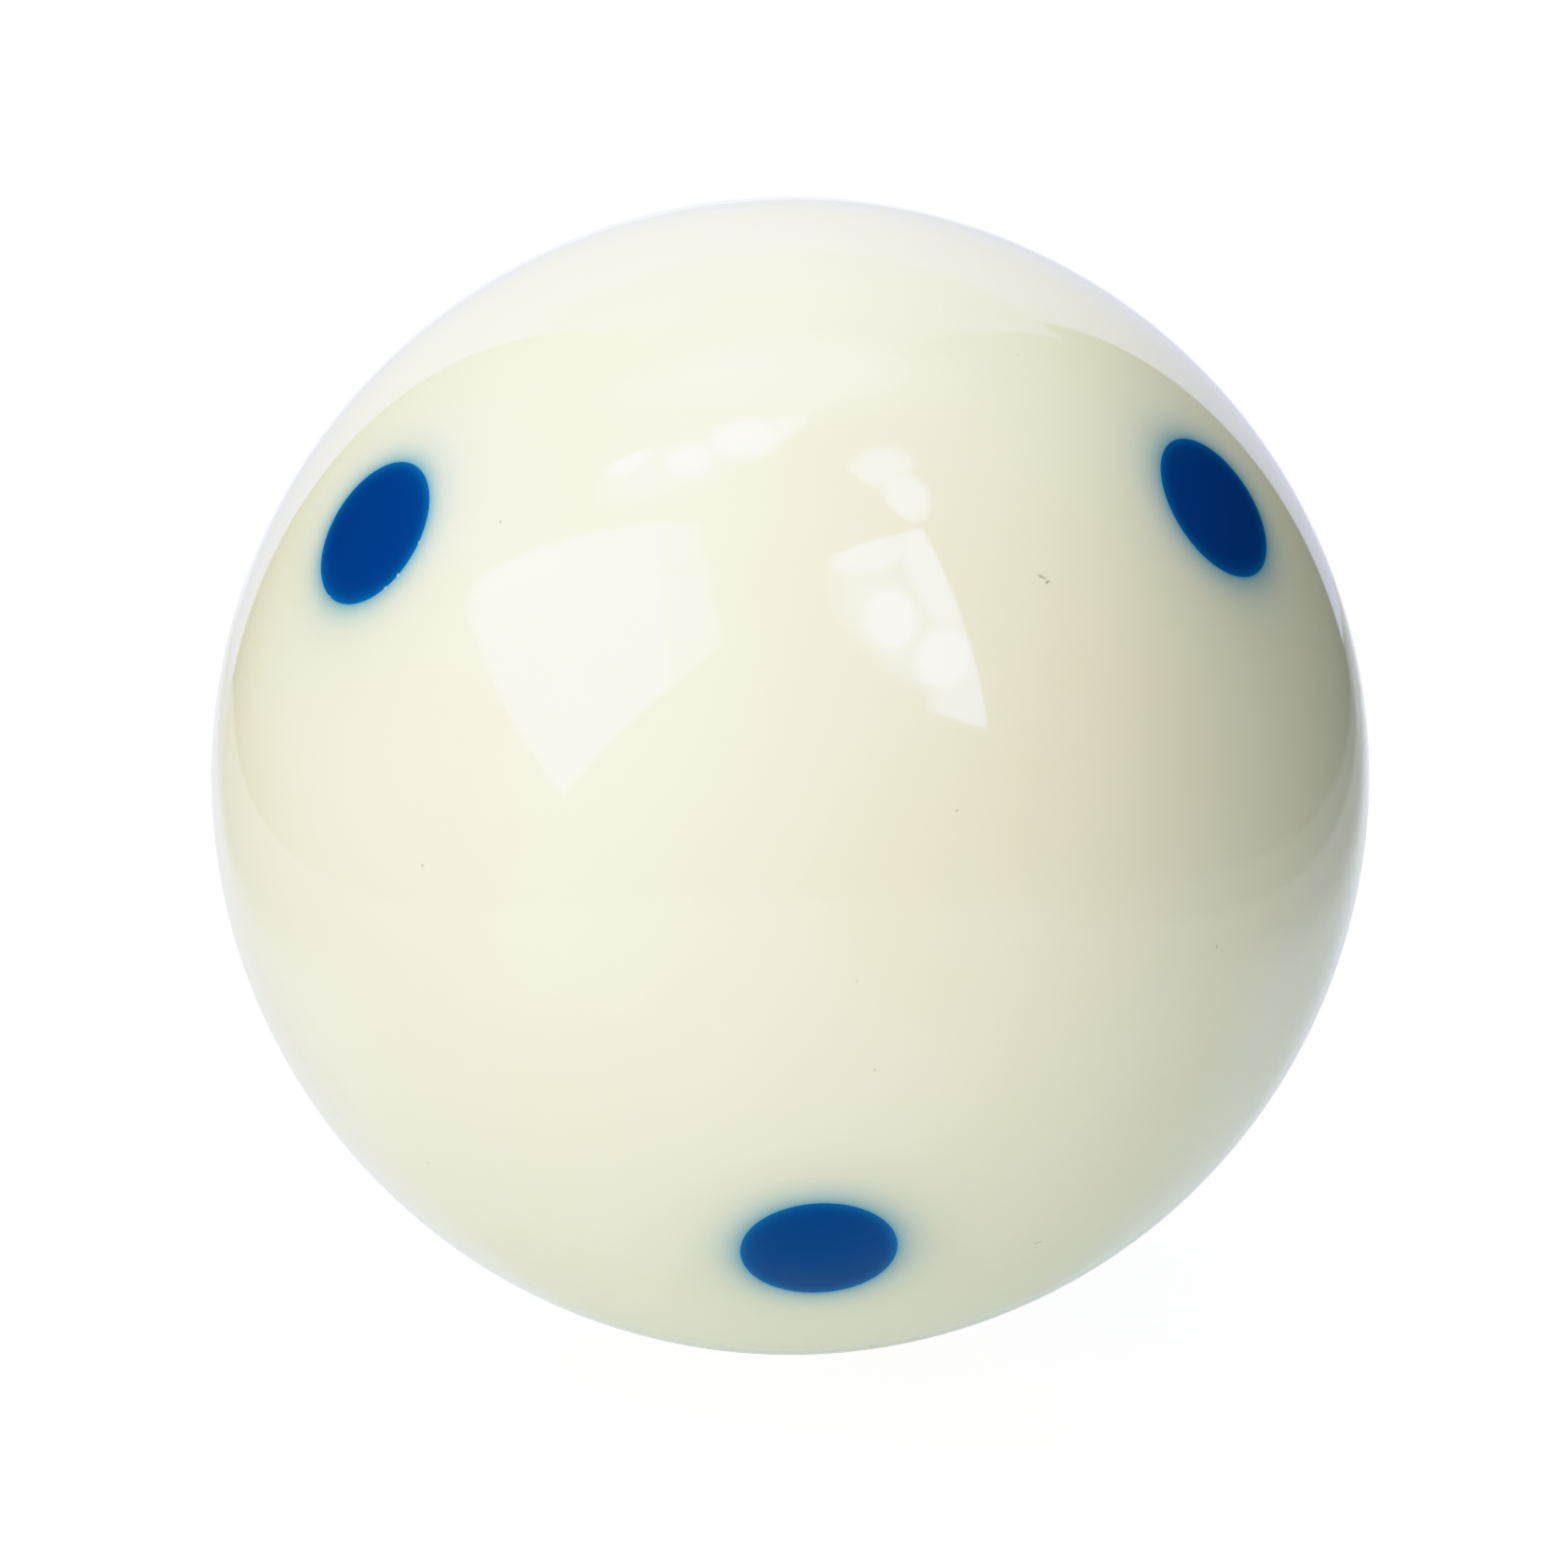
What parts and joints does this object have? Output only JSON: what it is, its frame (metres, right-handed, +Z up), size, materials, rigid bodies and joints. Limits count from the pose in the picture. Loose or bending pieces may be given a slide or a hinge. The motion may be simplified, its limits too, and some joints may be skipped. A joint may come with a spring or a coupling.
{
  "type": "cue ball",
  "caption": "Ivory resin cue ball for pocket billiards, with round coloured resin plugs set flush at the ends of its three square diameters.",
  "frame": {"origin": "the ball's centre, where its three dotted diameters cross", "axes": "+Z up, along a three-fold axis of the six-dot pattern, so that three dots form an upper ring and three a lower ring; -Y is the front, where one lower dot lies; +X is to the right of someone facing the front"},
  "size_m": [0.0572, 0.0572, 0.0572],
  "materials": {
    "ivory_resin": "polished",
    "blue_resin": "polished"
  },
  "bodies": {
    "root": {"ball_body": "ivory_resin", "dot_plug_upper_front_left": "blue_resin", "dot_plug_upper_front_right": "blue_resin", "dot_plug_upper_rear": "blue_resin", "dot_plug_lower_front": "blue_resin", "dot_plug_lower_rear_right": "blue_resin", "dot_plug_lower_rear_left": "blue_resin"}
  },
  "joints": []
}
